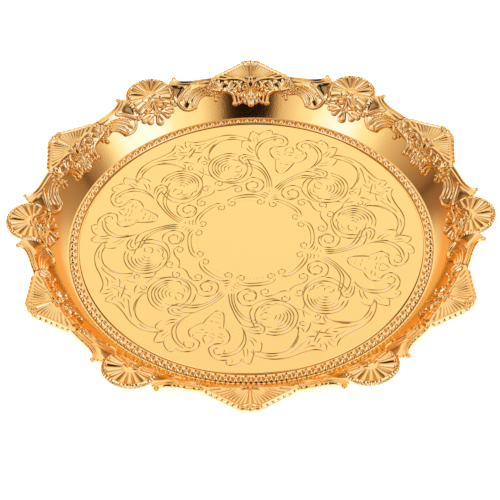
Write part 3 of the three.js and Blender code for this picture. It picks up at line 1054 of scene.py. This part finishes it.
def camera():
    view = bpy.data.cameras.new("camera")
    view.sensor_width = 36.0
    view.lens = 105.03
    view.shift_x, view.shift_y = -0.00205, -0.02213
    view.clip_start, view.clip_end = 0.05, 20
    eye = bpy.data.objects.new("camera", view)
    target = Vector((0, 0, FLOOR_TOP * MM))
    level = math.cos(ELEVATION)
    back = Vector((math.sin(AROUND) * level, -math.cos(AROUND) * level, math.sin(ELEVATION)))
    facing = back.to_track_quat("Z", "Y").to_matrix().to_4x4()
    eye.matrix_world = Matrix.Translation(target + back * DISTANCE) @ facing @ Matrix.Rotation(ROLL, 4, "Z")
    scene.collection.objects.link(eye)
    scene.camera = eye


def stage_floor():
    """A sheet of paper just under the tray; its faint glow keeps the tray's shadow from turning yellow."""
    mesh = bpy.data.meshes.new("stage_floor")
    spots = ((-1, -1), (1, -1), (1, 1), (-1, 1))
    corners = [(x * STAGE_SIDE, y * STAGE_SIDE, -STAGE_DROP * MM) for x, y in spots]
    mesh.from_pydata(corners, [], [(0, 1, 2, 3)])
    paper = bpy.data.materials.new("Pale paper")
    paper.use_nodes = True
    fill(paper.node_tree, paper.node_tree.nodes["Principled BSDF"], {
        "Base Color": (0.86, 0.86, 0.86, 1),
        "Roughness": 0.9,
        "Emission Color": (0.9, 0.93, 1, 1),
        "Emission Strength": 0.62,
    })
    mesh.materials.append(paper)
    floor = bpy.data.objects.new("stage_floor", mesh)
    scene.collection.objects.link(floor)


# The spokes round the middle of the panel, as (degrees, brightness). Nought points at the viewer, where a
# dark gap lies between the two bright lamps at 30 to 40 degrees to each side.
SPOKES = [
    (-180, 1.0), (-96, 1.0), (-86, 0.85), (-78, 0.36), (-71, 0.28), (-69.5, 0.10), (-67, 0.28), (-60, 0.42),
    (-46, 0.80), (-36, 1.4), (-31, 3.8), (-26, 2.6), (-19, 1.15), (-9, 0.75), (-7.5, 0.12), (-6, 0.01),
    (5, 0.01), (7, 0.08), (9, 0.65), (15, 1.1), (24, 1.4), (30, 3.8), (41, 2.9), (46, 1.1), (53, 0.5),
    (59, 0.30), (60.5, 0.10), (63, 0.34), (75, 0.5), (87, 0.85), (96, 1.0), (180, 1.0),
]
BRIGHTEST = 4.0
# Dim light is warm, as in a room; the bright lamps are cool, which turns gold to cream.
GLOW_COLOURS = [
    (0, (1.0, 0.55, 0.33)), (0.25, (1.0, 0.55, 0.33)), (0.8, (1.0, 0.84, 0.72)), (1.05, (1.0, 1.0, 1.0)),
    (1.4, (0.75, 0.84, 1.0)), (2.4, (0.44, 0.55, 1.0)), (3.6, (0.30, 0.40, 0.85)),
]
PANEL_GLOW = 1.05
PANEL_HEIGHT = 0.695
LOW_BACK_GLOW = (0.95, 0.55, 0.27, 1)


def ramp(tree, source, stops):
    """The colour at source between (position, colour) stops, the first of them at nought."""
    node = add_node(tree, "ShaderNodeValToRGB", {"Fac": source})
    elements = node.color_ramp.elements
    elements.remove(elements[1])
    for k, (position, colour) in enumerate(stops):
        stop = elements.new(position) if k else elements[0]
        stop.color = (*colour, 1)
    return node.outputs["Color"]


def studio_world():
    """A bright panel behind, and light and dark spokes round it, as light by direction."""
    world = bpy.data.worlds.new("studio")
    scene.world = world
    world.use_nodes = True
    tree = world.node_tree
    where = add_node(tree, "ShaderNodeTexCoord", {}).outputs["Generated"]
    x, y, z = add_node(tree, "ShaderNodeSeparateXYZ", {0: where}).outputs

    def find(operation, *values):
        return calculate(tree, operation, *values)

    def between(value, none, full):
        inputs = {"Value": value, "From Min": none, "From Max": full}
        node = add_node(tree, "ShaderNodeMapRange", inputs, interpolation_type="SMOOTHSTEP")
        return node.outputs["Result"]

    # where each direction lies, seen from the middle of the panel
    forward = find("SUBTRACT", PANEL_HEIGHT, y)
    turn = find("MULTIPLY_ADD", find("ARCTAN2", x, forward), 0.5 / math.pi, 0.5)
    away = find("SQRT", find("ADD", find("MULTIPLY", x, x), find("MULTIPLY", forward, forward)))
    # the spokes, none of them brighter than the panel close to it
    stops = [(angle / 360 + 0.5, [glow / BRIGHTEST] * 3) for angle, glow in SPOKES]
    striped = find("MULTIPLY", ramp(tree, turn, stops), BRIGHTEST)
    striped = find("MINIMUM", striped, find("MULTIPLY_ADD", between(away, 0.5, 0.75), BRIGHTEST, 1.0))
    # the panel, dimmer toward its near edge
    panel = find("MULTIPLY_ADD", between(forward, 0.09, 0.22), -0.3 * PANEL_GLOW, PANEL_GLOW)
    panel = find("SUBTRACT", panel, find("MULTIPLY", between(forward, -0.06, 0.12), 0.08))
    share = between(away, 0.24, 0.42)
    plain = find("MULTIPLY", find("SUBTRACT", 1.0, share), panel)
    light = find("ADD", plain, find("MULTIPLY", striped, share))
    # low down it is dark, but for a glow on the viewer's side
    low_front = find("MULTIPLY", between(y, -0.35, -0.65), between(z, 0.6, 0.35))
    light = find("MAXIMUM", light, find("MULTIPLY", low_front, 0.55))
    low = find("MULTIPLY", between(y, 0.35, 0.0), between(z, 0.42, 0.15))
    light = find("MULTIPLY", light, find("SUBTRACT", 1.0, find("MULTIPLY", low, 0.8)))
    stops = [(glow / BRIGHTEST, colour) for glow, colour in GLOW_COLOURS]
    warmth = ramp(tree, find("DIVIDE", light, BRIGHTEST), stops)
    # low at the back the room is lit by the metal's own warm glow
    low_back = find("MULTIPLY", between(y, 0.35, 0.65), between(z, 0.52, 0.2))
    mixed = {"Factor": low_back, "A": warmth, "B": LOW_BACK_GLOW}
    glow = add_node(tree, "ShaderNodeMix", mixed, data_type="RGBA", blend_type="MULTIPLY")
    fill(tree, tree.nodes["Background"], {"Strength": light, "Color": glow.outputs["Result"]})


def overhead_light():
    """One broad soft lamp for the paper; the world already gives the metal its reflections."""
    lamp = bpy.data.lights.new("overhead", "AREA")
    lamp.shape = "RECTANGLE"
    lamp.size, lamp.size_y = 3.0, 3.0
    lamp.energy = 25
    light = bpy.data.objects.new("overhead", lamp)
    light.location = (0, 0, 2.2)
    light.visible_glossy = False
    scene.collection.objects.link(light)


camera()
stage_floor()
studio_world()
overhead_light()
scene.view_settings.view_transform = "Standard"
print("camera at", [round(v, 3) for v in scene.camera.location])
